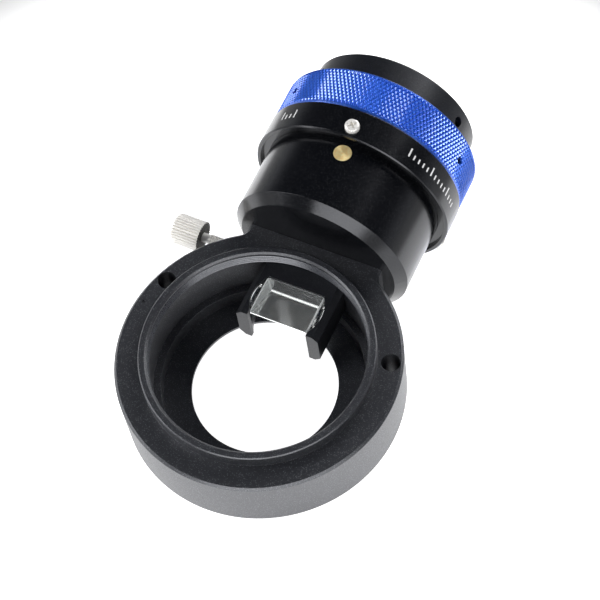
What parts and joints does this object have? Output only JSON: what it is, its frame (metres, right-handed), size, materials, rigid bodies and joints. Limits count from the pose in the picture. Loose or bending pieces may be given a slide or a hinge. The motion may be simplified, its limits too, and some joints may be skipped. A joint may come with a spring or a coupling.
{
  "type": "off-axis guider",
  "caption": "Ring body with a threaded collar, a prism on a sliding forked stalk, and a side helical focuser with a knurled ring that holds a guide camera.",
  "frame": {"origin": "on the telescope's axis, in the plane of the ring's flat face towards the telescope, inside the threaded collar", "axes": "+Z along the telescope's axis, out of the threaded collar; +Y from the ring towards the focuser, along the focuser's axis; +X to the side away from the thumb screw"},
  "size_m": [0.0725, 0.116, 0.0541],
  "materials": {
    "black_anodised": "bead-blasted, black anodised",
    "blue_anodised": "diamond knurled, blue anodised",
    "nickel_plate": "bright nickel plate",
    "turned_brass": "turned, uncoated",
    "black_steel": "black oxide",
    "optical_glass": "polished, bevelled edges",
    "clear_cement": "cured clear cement",
    "white_slip_plastic": "slip plastic"
  },
  "bodies": {
    "root": {"main_ring": "black_anodised", "guider_seat": "black_anodised", "seat_screw_1": "black_steel", "seat_screw_2": "black_steel", "seat_screw_3": "black_steel", "seat_screw_4": "black_steel", "marker_band": "black_anodised", "band_screw_1": "nickel_plate", "band_screw_2": "nickel_plate", "band_screw_3": "nickel_plate", "guide_key": "turned_brass", "lower_thrust_washer": "white_slip_plastic", "upper_thrust_washer": "white_slip_plastic"},
    "prism_stalk": {"prism_stalk": "black_anodised", "prism": "optical_glass", "prism_cement_left": "clear_cement", "prism_cement_right": "clear_cement"},
    "lock_pad": {"clamp_pad": "white_slip_plastic"},
    "lock_screw": {"thumb_screw": "nickel_plate"},
    "focus_ring": {"focus_ring": "blue_anodised", "focus_nut": "black_anodised", "focus_ring_grub_1": "black_steel", "focus_ring_grub_2": "black_steel", "focus_ring_grub_3": "black_steel"},
    "draw_tube": {"draw_tube": "black_anodised", "clamp_ring": "turned_brass", "camera_clamp_screw_1": "black_steel", "camera_clamp_screw_2": "black_steel", "camera_clamp_screw_3": "black_steel"}
  },
  "joints": [
    {"name": "stalk_slide", "type": "slide", "parent": "root", "child": "prism_stalk", "axis": [0, 1, 0], "range_m": [-0.003, 0.005]},
    {"name": "pad_slide", "type": "slide", "parent": "root", "child": "lock_pad", "axis": [-1, 0, 0], "range_m": [0, 0.001]},
    {"name": "lock_turn", "type": "hinge", "parent": "lock_pad", "child": "lock_screw", "pos_m": [-0.03365, 0.0282, -0.00645], "axis": [-1, 0, 0], "range_deg": [0, 720]},
    {"name": "focus_turn", "type": "hinge", "parent": "root", "child": "focus_ring", "pos_m": [0, 0.0668, -0.0051], "axis": [0, 1, 0], "range_deg": [-480, 720]},
    {"name": "focus_slide", "type": "slide", "parent": "root", "child": "draw_tube", "axis": [0, 1, 0], "range_m": [-0.006, 0.004]}
  ],
  "couplings": [
    {"joint": "lock_turn", "follows": "pad_slide", "rad_per_m": 12566},
    {"joint": "focus_slide", "follows": "focus_turn", "m_per_rad": -0.00047746}
  ]
}
